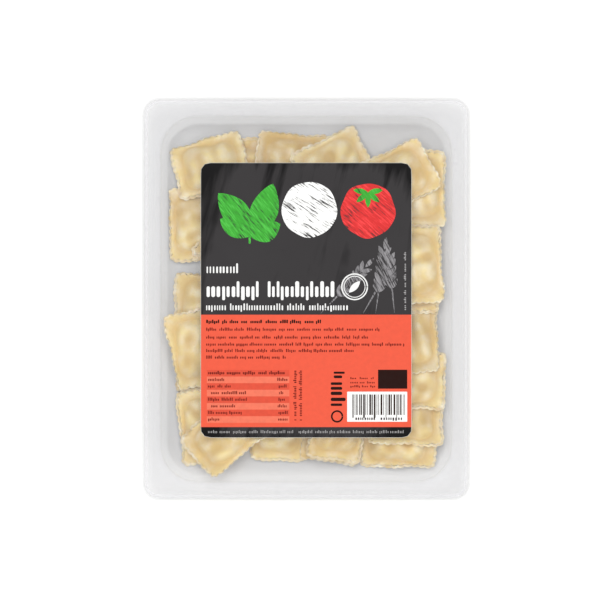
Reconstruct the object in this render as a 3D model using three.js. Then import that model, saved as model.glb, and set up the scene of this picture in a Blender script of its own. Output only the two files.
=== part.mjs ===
// A sealed retail pack of fresh ravioli: a clear formed tray, its lid film, a
// paper label and the loose ravioli inside. Millimetres, +Z up. The pack lies on
// its base with the label up. X runs across the pack and Y towards the label's
// top. The origin is the middle of the base, on the surface that it lies on.
import * as THREE from 'three';

// Tray, from outside to inside
const PACK_WIDTH = 154;
const PACK_LENGTH = 189;
const PACK_HEIGHT = 28;
const PACK_CORNER = 8;
const FLANGE_WIDTH = 9;
const MOUTH_CORNER = 17;
const WALL_DRAFT = 2;
const FLOOR_CORNER = 15;
const FLOOR_FILLET = 4;
const MOUTH_ROUND = 1.2;
const SHEET = 0.5;
const LIP_DROP = 1.8;
const CORNER_STEPS = 5;
const SIDE_STEPS = 3;
const FILLET_STEPS = 3;

// Lid film and label
const FILM_THICKNESS = 0.25;
const LABEL_WIDTH = 99;
const LABEL_LENGTH = 129;
const LABEL_CORNER = 4;
const LABEL_THICKNESS = 0.2;
const LABEL_Y = -0.6;

// One raviolo: two sheets of dough round a filling, cut with a toothed wheel
const RAVIOLO_LENGTH = 36;
const RAVIOLO_WIDTH = 27;
const RAVIOLO_CORNER = 3;
const SIZE_SPREAD = 0.05;
const END_RIM = 5;
const SIDE_RIM = 3.5;
const RIM_THICKNESS = 2.2;
const FOOT_CORNER = 6;
const FILLING_RISE = 4.8;
const FILLING_DROP = 2.0;
const TOOTH_PITCH = 4;
const TOOTH_DEPTH = 0.7;
const FOOT_POINTS = 18;
const CROWN_POINTS = 10;
const CROWN_REACH = 0.5;
const CROWN_HEIGHT = 0.86;

// The rim waves up and down: lobes round the rim, height, and the trait that turns them
const RIM_WAVES = [
  { lobes: 3, height: 0.55, trait: 4 },
  { lobes: 5, height: 0.33, trait: 5 },
];
const WAVE_TURN = 3;
const FOOT_WAVE = 0.3;

// How the pile settles
const REST_GAP = 0.5;
const CELL = 0.7;
const SOFTNESS = 0.75;
const MOST_DROOP = 3.5;
const DROOP_POWER = 1.5;
const LEAST_WEIGHT = 0.01;
const FAR_AWAY = 1e4;
const BOTTOMLESS = -1e4;
const REST_ROUNDS = 80;
const CLOSE_ENOUGH = 1e-6;
const EDGE_ON = 1e-9;

// Where each raviolo lies, from the lowest up: across, along, heading of its long side,
// and how far its far and near ends curl up (or, below zero, bend down)
const PILE = [
  [-52.6, 35.5, 91, 0.3, 0.4],
  [-44.5, -1, -2, -0.3, 0],
  [-44.5, -30.6, 2, 0, 0],
  [-47.3, -60.5, 96, 0, 0.3],
  [-23, 59, 95, 0.3, 0],
  [31, 52.5, 3, 0, 0],
  [52.4, 52.5, 89, 0.3, 0.8],
  [43.8, -66.6, -1, 0.4, 0.4],
  [46.8, -55.5, -1, 0.3, 0.6],
  [47.8, -38.7, -1, 0.2, 0.3],
  [-13.4, -60, 88, 0, 0.2],
  [12.5, -60, 84, 0, 0.2],
  [-14, 28, 88, 0, 0],
  [14.5, 21, 92, 0, 0],
  [-12, -6, 92, 0, 0],
  [18, -12, 95, 0, 0],
  [-10, -33, -2, 0, 0],
  [-6.3, 65.6, -4, -0.3, 0.4],
  [48.8, -16.2, 91, 0, 1.6],
  [-50.9, -23.5, 102, 2.4, -0.6],
  [48.9, 11.4, 91, 0, 0],
  [51, 16.2, 93, -0.6, 1.6],
  [15.4, -59.6, 81, 0, 0.4],
  [0, 34, -24, 0, 0],
  [20, 12, 30, 0, 0],
  [-14, -12, 40, 0, 0],
  [20, -18, -35, 0, 0],
  [-16, -42, 10, 0, 0],
  [-32.6, 27, 47, 0.2, 0.4],
  [12.9, 63.1, 26, 0.4, 0.2],
  [-45.5, 63.7, 15, 0.3, 0.5],
  [42.4, 57, 26, 1, 0.3],
  [-38.8, -64.6, 41, 0.3, 0.8],
];

const materials = {
  clear_plastic: new THREE.MeshStandardMaterial({
    color: 0xe6e8ea, roughness: 0.12, metalness: 0, transparent: true, opacity: 0.35,
  }),
  film: new THREE.MeshStandardMaterial({
    color: 0xeef0f2, roughness: 0.08, metalness: 0, transparent: true, opacity: 0.2,
  }),
  label_paper: new THREE.MeshStandardMaterial({ color: 0x434042, roughness: 0.55, metalness: 0 }),
  dough: new THREE.MeshStandardMaterial({ color: 0xe8d7a6, roughness: 0.65, metalness: 0 }),
};

// A fixed draw between -1 and 1 for raviolo number index and trait number trait
function draw(index, trait) {
  const wave = Math.sin(index * 12.9898 + trait * 78.233) * 43758.5453;
  return 2 * (wave - Math.floor(wave)) - 1;
}

// A rectangle with round corners about the middle, started halfway up its right side
function roundedRectangle(width, length, corner) {
  const x = width / 2;
  const y = length / 2;
  const quarter = Math.PI / 2;
  const outline = new THREE.Shape();
  outline.moveTo(x, 0);
  outline.lineTo(x, y - corner);
  outline.absarc(x - corner, y - corner, corner, 0, quarter, false);
  outline.lineTo(corner - x, y);
  outline.absarc(corner - x, y - corner, corner, quarter, 2 * quarter, false);
  outline.lineTo(-x, corner - y);
  outline.absarc(corner - x, corner - y, corner, 2 * quarter, 3 * quarter, false);
  outline.lineTo(x - corner, -y);
  outline.absarc(x - corner, corner - y, corner, 3 * quarter, 4 * quarter, false);
  outline.lineTo(x, 0);
  return outline;
}

// Triangles between two closed rings of any number of points each, facing out
// where the first ring is the outer or lower one and both run anticlockwise
function zipRings(first, second) {
  const triangles = [];
  let i = 0;
  let j = 0;
  while (i < first.length || j < second.length) {
    const a = first[i % first.length];
    const b = second[j % second.length];
    const firstIsBehind = (i + 1) / first.length <= (j + 1) / second.length;
    if (firstIsBehind && i < first.length) {
      i += 1;
      triangles.push([a, first[i % first.length], b]);
    } else {
      j += 1;
      triangles.push([a, second[j % second.length], b]);
    }
  }
  return triangles;
}

// Triangles from a ring to one point in its middle
function closeRing(ring, middle) {
  return ring.map((point, i) => [point, ring[(i + 1) % ring.length], middle]);
}

function flip(triangles) {
  return triangles.map(([a, b, c]) => [a, c, b]);
}

function geometryOf(triangles) {
  const geometry = new THREE.BufferGeometry();
  geometry.setFromPoints(triangles.flat());
  geometry.computeVertexNormals();
  return geometry;
}

// A point at height, out from a corner's middle at an angle
function onCorner([x, y], corner, angle, height) {
  return new THREE.Vector3(x + corner * Math.cos(angle), y + corner * Math.sin(angle), height);
}

// One level ring of the tray, inset from the pack's outer edge
function trayRing(inset, height, corner) {
  const x = PACK_WIDTH / 2 - inset - corner;
  const y = PACK_LENGTH / 2 - inset - corner;
  const middles = [[x, y], [-x, y], [-x, -y], [x, -y]];
  const points = [];
  middles.forEach((middle, side) => {
    for (let step = 0; step <= CORNER_STEPS; step += 1) {
      const angle = (side + step / CORNER_STEPS) * Math.PI / 2;
      points.push(onCorner(middle, corner, angle, height));
    }
    const angle = (side + 1) * Math.PI / 2;
    const start = onCorner(middle, corner, angle, height);
    const end = onCorner(middles[(side + 1) % middles.length], corner, angle, height);
    for (let step = 1; step < SIDE_STEPS; step += 1) {
      points.push(start.clone().lerp(end, step / SIDE_STEPS));
    }
  });
  return points;
}

// One face of the tray's sheet from the floor's edge up the wall to the flange, as
// insets from the outer edge, heights and corner radii. The face is raised over the
// underside and set outward from the inside by the amounts given.
function traySection(raise, outward) {
  const section = [];
  const rim = PACK_HEIGHT - SHEET + raise;
  const mouth = FLANGE_WIDTH - outward;
  const foot = mouth + WALL_DRAFT;
  const fillet = FLOOR_FILLET - outward;
  const round = MOUTH_ROUND + outward;
  for (let step = 0; step <= FILLET_STEPS; step += 1) {
    const angle = step / FILLET_STEPS * Math.PI / 2;
    const inwards = fillet * (1 - Math.sin(angle));
    const height = raise + fillet * (1 - Math.cos(angle));
    section.push([foot + inwards, height, FLOOR_CORNER + outward - inwards]);
  }
  for (let step = 0; step <= FILLET_STEPS; step += 1) {
    const angle = step / FILLET_STEPS * Math.PI / 2;
    const outwards = round * (1 - Math.cos(angle));
    const height = rim - round * (1 - Math.sin(angle));
    section.push([mouth - outwards, height, MOUTH_CORNER + outward + outwards]);
  }
  return section;
}

function trayTriangles() {
  const inside = traySection(SHEET, 0);
  const outside = traySection(0, SHEET);
  const lip = [
    [SHEET, PACK_HEIGHT - SHEET, PACK_CORNER - SHEET],
    [SHEET, PACK_HEIGHT - LIP_DROP, PACK_CORNER - SHEET],
    [0, PACK_HEIGHT - LIP_DROP, PACK_CORNER],
    [0, PACK_HEIGHT - SHEET, PACK_CORNER],
    [SHEET, PACK_HEIGHT, PACK_CORNER - SHEET],
  ];
  const rings = [...outside, ...lip, ...inside.reverse()].map((ring) => trayRing(...ring));
  const sides = rings.slice(1).flatMap((ring, i) => zipRings(rings[i], ring));
  const underside = closeRing(rings[0], new THREE.Vector3(0, 0, 0));
  const floor = closeRing(rings.at(-1), new THREE.Vector3(0, 0, SHEET));
  return [...flip(underside), ...sides, ...floor];
}

function plateGeometry(width, length, corner, thickness) {
  return new THREE.ExtrudeGeometry(roundedRectangle(width, length, corner), {
    depth: thickness, bevelEnabled: false, curveSegments: CORNER_STEPS,
  });
}

// Rings of one flat raviolo about its own middle: the toothed edge, the foot of the
// filling, its crown and its middle, each with how far the dough lies above and below
// there, and its share of the rim's waves
function raviolo(index) {
  const length = RAVIOLO_LENGTH * (1 + SIZE_SPREAD * draw(index, 1));
  const width = RAVIOLO_WIDTH * (1 + SIZE_SPREAD * draw(index, 2));
  const rise = FILLING_RISE * (1 + 2 * SIZE_SPREAD * draw(index, 3));
  const edge = roundedRectangle(length, width, RAVIOLO_CORNER);
  const teeth = Math.round(edge.getLength() / TOOTH_PITCH);
  const cut = edge.getSpacedPoints(2 * teeth).slice(0, -1);
  const toothed = cut.map((point, i) => {
    const along = cut[(i + 1) % cut.length].clone().sub(cut.at(i - 1)).normalize();
    const depth = i % 2 === 0 ? 0 : TOOTH_DEPTH;
    return new THREE.Vector2(point.x - along.y * depth, point.y + along.x * depth);
  });
  const foot = roundedRectangle(length - 2 * END_RIM, width - 2 * SIDE_RIM, FOOT_CORNER);
  const footPoints = foot.getSpacedPoints(FOOT_POINTS).slice(0, -1);
  const crownPoints = foot.getSpacedPoints(CROWN_POINTS).slice(0, -1);
  crownPoints.forEach((point) => point.multiplyScalar(CROWN_REACH));
  const half = RIM_THICKNESS / 2;
  const crown = { above: half + rise * CROWN_HEIGHT, below: half + FILLING_DROP * CROWN_HEIGHT };
  return {
    length,
    width,
    edge: { points: toothed, above: half, below: half, wave: 1 },
    foot: { points: footPoints, above: half, below: half, wave: FOOT_WAVE },
    crown: { points: crownPoints, ...crown, wave: 0 },
    middle: { points: [new THREE.Vector2()], above: half + rise, below: half + FILLING_DROP, wave: 0 },
  };
}

// How much each of the four corners hangs down at a point of the flat raviolo: one
// at the corner itself and nothing in the other three quarters
function cornerWeights(shape, point) {
  const across = 2 * point.x / shape.length;
  const along = 2 * point.y / shape.width;
  return [[1, 1], [-1, 1], [-1, -1], [1, -1]].map(
    ([sx, sy]) => (Math.max(0, sx * across) * Math.max(0, sy * along)) ** DROOP_POWER,
  );
}

// How far a point of the rim at an end lies over the flat raviolo because the end curls
function curlAt(shape, point, farCurl, nearCurl) {
  const outwards = Math.max(0, Math.abs(point.x) - shape.length / 2 + END_RIM) / END_RIM;
  return (point.x > 0 ? farCurl : nearCurl) * outwards ** 2;
}

// How far the rim's waves lift it at a share of a full turn round it
function waveAt(index, turn) {
  const lifts = RIM_WAVES.map(
    ({ lobes, height, trait }) => height * Math.sin(lobes * turn + WAVE_TURN * draw(index, trait)),
  );
  return lifts.reduce((sum, lift) => sum + lift, 0);
}

// The closed solid of a raviolo that lies at place, raised by the plane lie and
// hanging down at its corners by droop
function ravioloTriangles(shape, index, place, lie, droop) {
  const [x, y, heading, farCurl, nearCurl] = place;
  const origin = new THREE.Vector2();
  const lift = (ring, side) => ring.points.map((point, i) => {
    const turned = point.clone().rotateAround(origin, heading * Math.PI / 180);
    const level = lie[0] + lie[1] * turned.x + lie[2] * turned.y;
    const wave = ring.wave * waveAt(index, 2 * Math.PI * i / ring.points.length);
    const hang = cornerWeights(shape, point).reduce((sum, weight, k) => sum + weight * droop[k], 0);
    const curl = curlAt(shape, point, farCurl, nearCurl);
    const thickness = side > 0 ? ring.above : -ring.below;
    const height = level + wave - hang + curl + thickness;
    return new THREE.Vector3(x + turned.x, y + turned.y, height);
  });
  const rings = [shape.edge, shape.foot, shape.crown];
  const top = rings.map((ring) => lift(ring, 1));
  const bottom = rings.map((ring) => lift(ring, -1));
  const upper = [
    ...zipRings(top[0], top[1]),
    ...zipRings(top[1], top[2]),
    ...closeRing(top[2], lift(shape.middle, 1)[0]),
  ];
  const lower = [
    ...zipRings(bottom[0], bottom[1]),
    ...zipRings(bottom[1], bottom[2]),
    ...closeRing(bottom[2], lift(shape.middle, -1)[0]),
  ];
  return [...upper, ...flip(lower), ...zipRings(bottom[0], top[0])];
}

// Heights of a surface over square cells of the pack, as a map from a cell's key to
// its highest (side 1) or lowest (side -1) triangle there
function columns(triangles, side) {
  const heights = new Map();
  for (const [a, b, c] of triangles) {
    const area = (b.x - a.x) * (c.y - a.y) - (c.x - a.x) * (b.y - a.y);
    const west = Math.ceil(Math.min(a.x, b.x, c.x) / CELL);
    const east = Math.floor(Math.max(a.x, b.x, c.x) / CELL);
    const south = Math.ceil(Math.min(a.y, b.y, c.y) / CELL);
    const north = Math.floor(Math.max(a.y, b.y, c.y) / CELL);
    for (let i = west; i <= east; i += 1) {
      for (let j = south; j <= north; j += 1) {
        const px = i * CELL;
        const py = j * CELL;
        const u = ((b.x - px) * (c.y - py) - (c.x - px) * (b.y - py)) / area;
        const v = ((c.x - px) * (a.y - py) - (a.x - px) * (c.y - py)) / area;
        const w = 1 - u - v;
        const height = u * a.z + v * b.z + w * c.z;
        const key = `${i},${j}`;
        const known = heights.get(key)?.[2] ?? -side * Infinity;
        if (Math.abs(area) > EDGE_ON && Math.min(u, v, w) >= 0 && side * height > side * known) {
          heights.set(key, [px, py, height]);
        }
      }
    }
  }
  return heights;
}

// Adds a solid's upper side to the heights of the pile, one cell wider all round
function cover(pile, triangles) {
  for (const [px, py, height] of columns(triangles, 1).values()) {
    for (let i = -1; i <= 1; i += 1) {
      for (let j = -1; j <= 1; j += 1) {
        const key = `${Math.round(px / CELL) + i},${Math.round(py / CELL) + j}`;
        pile.set(key, Math.max(pile.get(key) ?? BOTTOMLESS, height));
      }
    }
  }
}

function planeThrough([a, b, c]) {
  const area = (b[0] - a[0]) * (c[1] - a[1]) - (c[0] - a[0]) * (b[1] - a[1]);
  const slopeX = ((b[2] - a[2]) * (c[1] - a[1]) - (c[2] - a[2]) * (b[1] - a[1])) / area;
  const slopeY = ((b[0] - a[0]) * (c[2] - a[2]) - (c[0] - a[0]) * (b[2] - a[2])) / area;
  return [a[2] - slopeX * a[0] - slopeY * a[1], slopeX, slopeY];
}

function holdsOrigin([a, b, c]) {
  const turns = [[a, b], [b, c], [c, a]].map(([p, q]) => p[0] * q[1] - q[0] * p[1]);
  return turns.every((t) => t >= 0) || turns.every((t) => t <= 0);
}

// The lowest plane over a set of needed heights about the origin, found as a plate
// finds its rest: it tips until it lies on three points with its middle between them
function restingPlane(needs) {
  let support = [
    [-FAR_AWAY, -FAR_AWAY, BOTTOMLESS],
    [FAR_AWAY, -FAR_AWAY, BOTTOMLESS],
    [0, FAR_AWAY, BOTTOMLESS],
  ];
  let plane = planeThrough(support);
  for (let round = 0; round < REST_ROUNDS; round += 1) {
    const excess = (need) => need[2] - plane[0] - plane[1] * need[0] - plane[2] * need[1];
    const worst = needs.reduce((most, need) => (excess(need) > excess(most) ? need : most));
    if (excess(worst) < CLOSE_ENOUGH) {
      break;
    }
    const choices = support.map((old, k) => support.with(k, worst));
    support = choices.find(holdsOrigin) ?? choices[0];
    plane = planeThrough(support);
  }
  return plane;
}

// Lays one raviolo on the pile and returns its triangles. First it tips like a plate,
// then each corner hangs down by a part of the height left free beneath it.
function settle(shape, index, place, pile) {
  const [x, y, heading] = place;
  const flat = ravioloTriangles(shape, index, place, [0, 0, 0], [0, 0, 0, 0]);
  const needs = [...columns(flat, -1)].map(([key, [px, py, under]]) => {
    const below = pile.get(key) ?? PACK_HEIGHT;
    return [px - x, py - y, below + REST_GAP - under];
  });
  const lie = restingPlane(needs);
  const droop = [MOST_DROOP, MOST_DROOP, MOST_DROOP, MOST_DROOP];
  for (const [dx, dy, need] of needs) {
    const spare = Math.max(0, lie[0] + lie[1] * dx + lie[2] * dy - need);
    const point = new THREE.Vector2(dx, dy).rotateAround(new THREE.Vector2(), -heading * Math.PI / 180);
    cornerWeights(shape, point).forEach((weight, k) => {
      if (weight > LEAST_WEIGHT) {
        droop[k] = Math.min(droop[k], SOFTNESS * spare / weight);
      }
    });
  }
  return ravioloTriangles(shape, index, place, lie, droop);
}

function addTo(group, name, geometry, material) {
  const mesh = new THREE.Mesh(geometry, material);
  mesh.name = name;
  group.add(mesh);
  return mesh;
}

const pack = new THREE.Group();

const tray = trayTriangles();
addTo(pack, 'tray', geometryOf(tray), materials.clear_plastic);

const film = plateGeometry(PACK_WIDTH, PACK_LENGTH, PACK_CORNER, FILM_THICKNESS);
addTo(pack, 'lid_film', film, materials.film).position.z = PACK_HEIGHT;

const label = plateGeometry(LABEL_WIDTH, LABEL_LENGTH, LABEL_CORNER, LABEL_THICKNESS);
const labelMesh = addTo(pack, 'label', label, materials.label_paper);
labelMesh.position.set(0, LABEL_Y, PACK_HEIGHT + FILM_THICKNESS);

const pile = new Map();
cover(pile, tray);
PILE.forEach((place, index) => {
  const triangles = settle(raviolo(index), index, place, pile);
  cover(pile, triangles);
  const name = `ravioli_${String(index + 1).padStart(2, '0')}`;
  addTo(pack, name, geometryOf(triangles), materials.dough);
});

export default pack;
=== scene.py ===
"""Dresses a packed tray of fresh ravioli: floured dough, clear tray and film, printed label.

Shapes are worked out in millimetres and written to the meshes in metres, in the frame of the
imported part: +Z up, X across the pack, Y towards the label's top, the base on Z = 0.
"""

import math
from typing import NamedTuple

import bpy
import numpy as np
from bpy.props import FloatProperty, FloatVectorProperty, PointerProperty
from bpy.types import Operator, Panel, PropertyGroup
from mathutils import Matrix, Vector


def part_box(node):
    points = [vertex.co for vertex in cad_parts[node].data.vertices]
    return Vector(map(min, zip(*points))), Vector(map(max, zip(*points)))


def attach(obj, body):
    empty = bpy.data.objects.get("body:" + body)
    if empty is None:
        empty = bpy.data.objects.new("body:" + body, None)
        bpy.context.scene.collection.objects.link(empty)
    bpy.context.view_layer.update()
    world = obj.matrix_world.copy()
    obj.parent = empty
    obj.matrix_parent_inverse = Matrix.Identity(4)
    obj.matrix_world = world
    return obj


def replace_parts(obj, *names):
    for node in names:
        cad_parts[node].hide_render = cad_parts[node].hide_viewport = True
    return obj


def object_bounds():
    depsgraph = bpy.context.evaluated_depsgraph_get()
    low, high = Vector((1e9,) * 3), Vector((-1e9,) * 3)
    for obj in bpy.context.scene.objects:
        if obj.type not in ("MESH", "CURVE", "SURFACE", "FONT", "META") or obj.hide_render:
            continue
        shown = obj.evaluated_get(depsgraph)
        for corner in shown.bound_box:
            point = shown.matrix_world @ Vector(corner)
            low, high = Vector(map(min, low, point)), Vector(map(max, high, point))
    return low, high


bl_info = {
    "name": "Ravioli pack",
    "version": (1, 0, 0),
    "blender": (4, 5, 0),
    "location": "View3D > Sidebar > Ravioli",
    "description": "A clear tray of fresh ravioli with a lid film and a printed label",
    "category": "Add Mesh",
}

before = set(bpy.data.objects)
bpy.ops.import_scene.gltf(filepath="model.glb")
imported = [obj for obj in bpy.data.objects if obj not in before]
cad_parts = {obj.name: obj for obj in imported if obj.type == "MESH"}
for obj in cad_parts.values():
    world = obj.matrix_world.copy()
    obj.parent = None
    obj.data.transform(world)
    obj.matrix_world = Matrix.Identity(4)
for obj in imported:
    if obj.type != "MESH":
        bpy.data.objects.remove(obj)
CAD_BOX = [list(corner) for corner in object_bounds()]

MM = 0.001
BODY = "root"


class Place(NamedTuple):
    """Where a raviolo lies, in millimetres and degrees, and how far its ends curl up."""

    across: float
    along: float
    heading: float
    far_curl: float
    near_curl: float


# A place for each raviolo, from the lowest up. An end with a curl below zero bends down.
PILE = [
    (-52.6, 35.5, 91, 0.3, 0.4),
    (-44.5, -1, -2, -0.3, 0),
    (-44.5, -30.6, 2, 0, 0),
    (-47.3, -60.5, 96, 0, 0.3),
    (-23, 59, 95, 0.3, 0),
    (31, 52.5, 3, 0, 0),
    (52.4, 52.5, 89, 0.3, 0.8),
    (43.8, -66.6, -1, 0.4, 0.4),
    (46.8, -55.5, -1, 0.3, 0.6),
    (47.8, -38.7, -1, 0.2, 0.3),
    (-13.4, -60, 88, 0, 0.2),
    (12.5, -60, 84, 0, 0.2),
    (-14, 28, 88, 0, 0),
    (14.5, 21, 92, 0, 0),
    (-12, -6, 92, 0, 0),
    (18, -12, 95, 0, 0),
    (-10, -33, -2, 0, 0),
    (-6.3, 65.6, -4, -0.3, 0.4),
    (48.8, -16.2, 91, 0, 1.6),
    (-50.9, -23.5, 102, 2.4, -0.6),
    (48.9, 11.4, 91, 0, 0),
    (51, 16.2, 93, -0.6, 1.6),
    (15.4, -59.6, 81, 0, 0.4),
    (0, 34, -24, 0, 0),
    (20, 12, 30, 0, 0),
    (-14, -12, 40, 0, 0),
    (20, -18, -35, 0, 0),
    (-16, -42, 10, 0, 0),
    (-32.6, 27, 47, 0.2, 0.4),
    (12.9, 63.1, 26, 0.4, 0.2),
    (-45.5, 63.7, 15, 0.3, 0.5),
    (42.4, 57, 26, 1, 0.3),
    (-38.8, -64.6, 41, 0.3, 0.8),
]


def linear(red, green, blue):
    """Scene-linear colour of a screen colour whose channels run from 0 to 255."""
    share = np.array([red, green, blue]) / 255
    straight = share / 12.92
    curved = ((share + 0.055) / 1.055) ** 2.4
    return tuple(float(value) for value in np.where(share <= 0.04045, straight, curved))


def dimmed(ink, share):
    """A colour with every channel multiplied by a share."""
    return tuple(share * value for value in ink)


def box_of(node):
    """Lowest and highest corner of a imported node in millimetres."""
    return (np.array(corner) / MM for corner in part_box(node))


def amount(name, description, default, unit="NONE"):
    """A number above zero that a user may change: millimetres, where nothing else is said."""
    return FloatProperty(name=name, description=description, default=default, min=0.0, unit=unit)


def colour(name, description, red, green, blue):
    """A colour that a user may change, given as it looks on screen."""
    return FloatVectorProperty(
        name=name,
        description=description,
        default=linear(red, green, blue),
        subtype="COLOR",
        size=3,
        min=0.0,
        max=1.0,
    )


class RavioliSettings(PropertyGroup):
    """Sizes in millimetres and colours of one raviolo."""

    length: amount("Length", "Long side of a raviolo over its teeth", 36.0)
    width: amount("Width", "Short side of a raviolo over its teeth", 27.0)
    spread: amount("Spread", "Share by which the sides differ from piece to piece", 0.05)
    corner: amount("Corner", "Radius of the cut corners", 3.0)
    end_rim: amount("End rim", "Width of the sealed rim at the short ends", 5.0)
    side_rim: amount("Side rim", "Width of the sealed rim along the long sides", 3.5)
    rim_thickness: amount("Rim thickness", "Both sheets of dough together", 2.2)
    foot_corner: amount("Foot corner", "Radius of the filling's corners", 6.0)
    rise: amount("Rise", "How far the filling lifts the upper sheet", 4.8)
    drop: amount("Drop", "How far the filling pushes the lower sheet down", 2.0)
    tooth_pitch: amount("Tooth pitch", "Distance between the teeth of the cut edge", 3.2)
    tooth_depth: amount("Tooth depth", "Depth of the teeth of the cut edge", 0.6)
    wave: amount("Wave", "How far the rim waves up and down", 0.55)
    ruffle: amount("Ruffle", "How far the cut edge ruffles up and down", 0.35)
    dough: colour("Dough", "Moist egg dough over the filling", 246, 225, 158)
    # Floured dough is also the painted highlight on lumps and ruffles
    floured: colour("Floured dough", "Drier, floured dough", 255, 249, 228)
    # Deep dough is damp dough and also painted shade: on the filling's flank, in hollows, on pieces in
    # shade
    shaded: colour("Deep dough", "Dough where it is thin and damp", 204, 164, 82)
    seam: colour("Seam", "Dough in the groove between the two sheets", 206, 166, 104)


class TraySettings(PropertyGroup):
    """Sizes in millimetres and colours of the tray and its film."""

    sheet: amount("Sheet", "Thickness of the formed sheet", 0.5)
    flange: amount("Flange", "Width of the flange round the mouth", 9.0)
    corner: amount("Corner", "Outer corner radius", 8.0)
    mouth_corner: amount("Mouth corner", "Corner radius of the mouth", 17.0)
    draft: amount("Draft", "How far a wall leans in from mouth to floor", 2.0)
    floor_corner: amount("Floor corner", "Corner radius of the floor", 15.0)
    fillet: amount("Fillet", "Radius between wall and floor", 4.0)
    mouth_round: amount("Mouth round", "Radius between wall and flange", 1.2)
    lip_drop: amount("Lip drop", "How far the outer lip turns down", 1.8)
    plastic: colour("Plastic", "Body colour of the clear sheet", 238, 238, 242)
    film: colour("Film", "Body colour of the lid film", 240, 240, 244)


class LabelSettings(PropertyGroup):
    """Colours of the label's stock and inks."""

    paper: colour("Paper", "Bare cut edge of the label", 206, 204, 196)
    charcoal: colour("Charcoal", "Upper field and footer", 54, 52, 53)
    coral: colour("Coral", "Lower field", 226, 90, 66)
    coral_light: colour("Light coral", "Light rows of the table", 231, 116, 91)
    coral_dark: colour("Dark coral", "Dark rows of the table", 215, 81, 60)
    chalk: colour("Chalk", "White chalk ink", 238, 238, 236)
    smoke: colour("Smoke", "Grey chalk ink", 122, 120, 122)
    silver: colour("Silver", "Pale grey ink of the footer", 164, 162, 162)
    maroon: colour("Maroon", "Small print on the coral field", 112, 28, 20)
    soot: colour("Soot", "Darkest ink", 36, 12, 8)
    leaf: colour("Leaf", "Green chalk ink", 62, 160, 54)
    tomato: colour("Tomato", "Red chalk ink", 206, 52, 52)


class StageSettings(PropertyGroup):
    """The stage: sizes in metres, and the strength of its lights."""

    camera_distance: amount("Camera distance", "Height of the camera over the label", 1.6, "LENGTH")
    view_width: amount("View width", "Width that the picture covers at the label", 0.2814, "LENGTH")
    key: amount("Key", "Power of the key light in watts", 13.3)
    fill: amount("Fill", "Power of the fill light in watts", 7.5)
    sky: amount("Sky", "Strength of the even light all round", 0.41)
    floor: colour("Floor", "Colour of the floor", 250, 250, 250)


# Mesh helpers

# Points along each round corner before an outline is spaced evenly
ARC_POINTS = 25


def linked(name, data):
    """A new object in the scene, at the origin."""
    made = bpy.data.objects.new(name, data)
    bpy.context.scene.collection.objects.link(made)
    return made


def new_piece(name, vertices, faces, material, slot, smooth=True):
    """Makes an object at the origin from millimetre vertices and gives it a body. Its slot is not used.
    """
    mesh = bpy.data.meshes.new(name)
    mesh.from_pydata((np.asarray(vertices) * MM).tolist(), [], [list(face) for face in faces])
    mesh.polygons.foreach_set("use_smooth", np.full(len(mesh.polygons), smooth))
    mesh.materials.append(material)
    mesh.update()
    piece = linked(name, mesh)
    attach(piece, BODY)
    return piece


def add_attribute(piece, name, values):
    """Stores one number for each vertex under a name that a material reads."""
    layer = piece.data.attributes.new(name, "FLOAT", "POINT")
    layer.data.foreach_set("value", np.asarray(values, np.float32))


def skin(rings, first_pole, last_pole):
    """Closes a stack of rings with a pole at each end.

    rings is (stations, points, 3), each ring anticlockwise from above. The stack starts at
    the upper pole, spreads out over the top, and comes back in underneath, so that faces
    built from one ring to the next point outwards.
    """
    stations, points = rings.shape[:2]
    vertices = np.vstack([rings.reshape(-1, 3), first_pole, last_pole])
    here = np.arange(points)
    ahead = np.roll(here, -1)
    start = np.arange(stations - 1)[:, None] * points
    quads = np.stack(
        [start + here, start + points + here, start + points + ahead, start + ahead], axis=-1
    ).reshape(-1, 4)
    top = stations * points
    last = (stations - 1) * points
    upper = np.stack([np.full(points, top), here, ahead], axis=-1)
    lower = np.stack([np.full(points, top + 1), last + ahead, last + here], axis=-1)
    return vertices, [*quads.tolist(), *upper.tolist(), *lower.tolist()]


def around(x, y, radius, angle):
    """Points at an array of angles round a middle."""
    return np.column_stack([x + radius * np.cos(angle), y + radius * np.sin(angle)])


def quarter_arcs(right, left, upper, lower, corner, steps):
    """The four round corners of an outline, from the upper right one anticlockwise."""
    angle = np.linspace(0, math.pi / 2, steps)
    middles = ((right, upper), (left, upper), (left, lower), (right, lower))
    return [around(*middle, corner, angle + turn * math.pi / 2) for turn, middle in enumerate(middles)]


def rounded_rectangle(width, length, corner, count):
    """Points spread evenly along a rectangle with round corners, and their outward normals.

    The outline is four quarter arcs joined by straight sides. It starts halfway up the right
    side and runs anticlockwise. The points are found by their distance along it.
    """
    corner = min(corner, width / 2, length / 2)
    half_x = width / 2 - corner
    half_y = length / 2 - corner
    start = np.array([[width / 2, 0.0]])
    path = np.vstack([start, *quarter_arcs(half_x, -half_x, half_y, -half_y, corner, ARC_POINTS), start])
    along = np.concatenate([[0], np.cumsum(np.linalg.norm(np.diff(path, axis=0), axis=1))])
    at = np.arange(count) / count * along[-1]
    points = np.column_stack([np.interp(at, along, path[:, 0]), np.interp(at, along, path[:, 1])])
    tangent = np.roll(points, -1, axis=0) - np.roll(points, 1, axis=0)
    tangent /= np.linalg.norm(tangent, axis=1, keepdims=True)
    normals = np.column_stack([tangent[:, 1], -tangent[:, 0]])
    return points, normals


def rectangle_perimeter(width, length, corner):
    """Length of a rectangle's outline with round corners."""
    return 2 * (width + length) - 8 * corner + 2 * math.pi * corner


def prism(outline, low, high):
    """A flat closed outline raised from low to high, as vertices and faces."""
    outline = np.asarray(outline, float)
    count = len(outline)
    lower = np.column_stack([outline, np.full(count, low)])
    upper = np.column_stack([outline, np.full(count, high)])
    here = np.arange(count)
    ahead = np.roll(here, -1)
    sides = np.stack([here, ahead, ahead + count, here + count], axis=-1).tolist()
    return np.vstack([lower, upper]), [here[::-1].tolist(), (here + count).tolist(), *sides]


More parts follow.
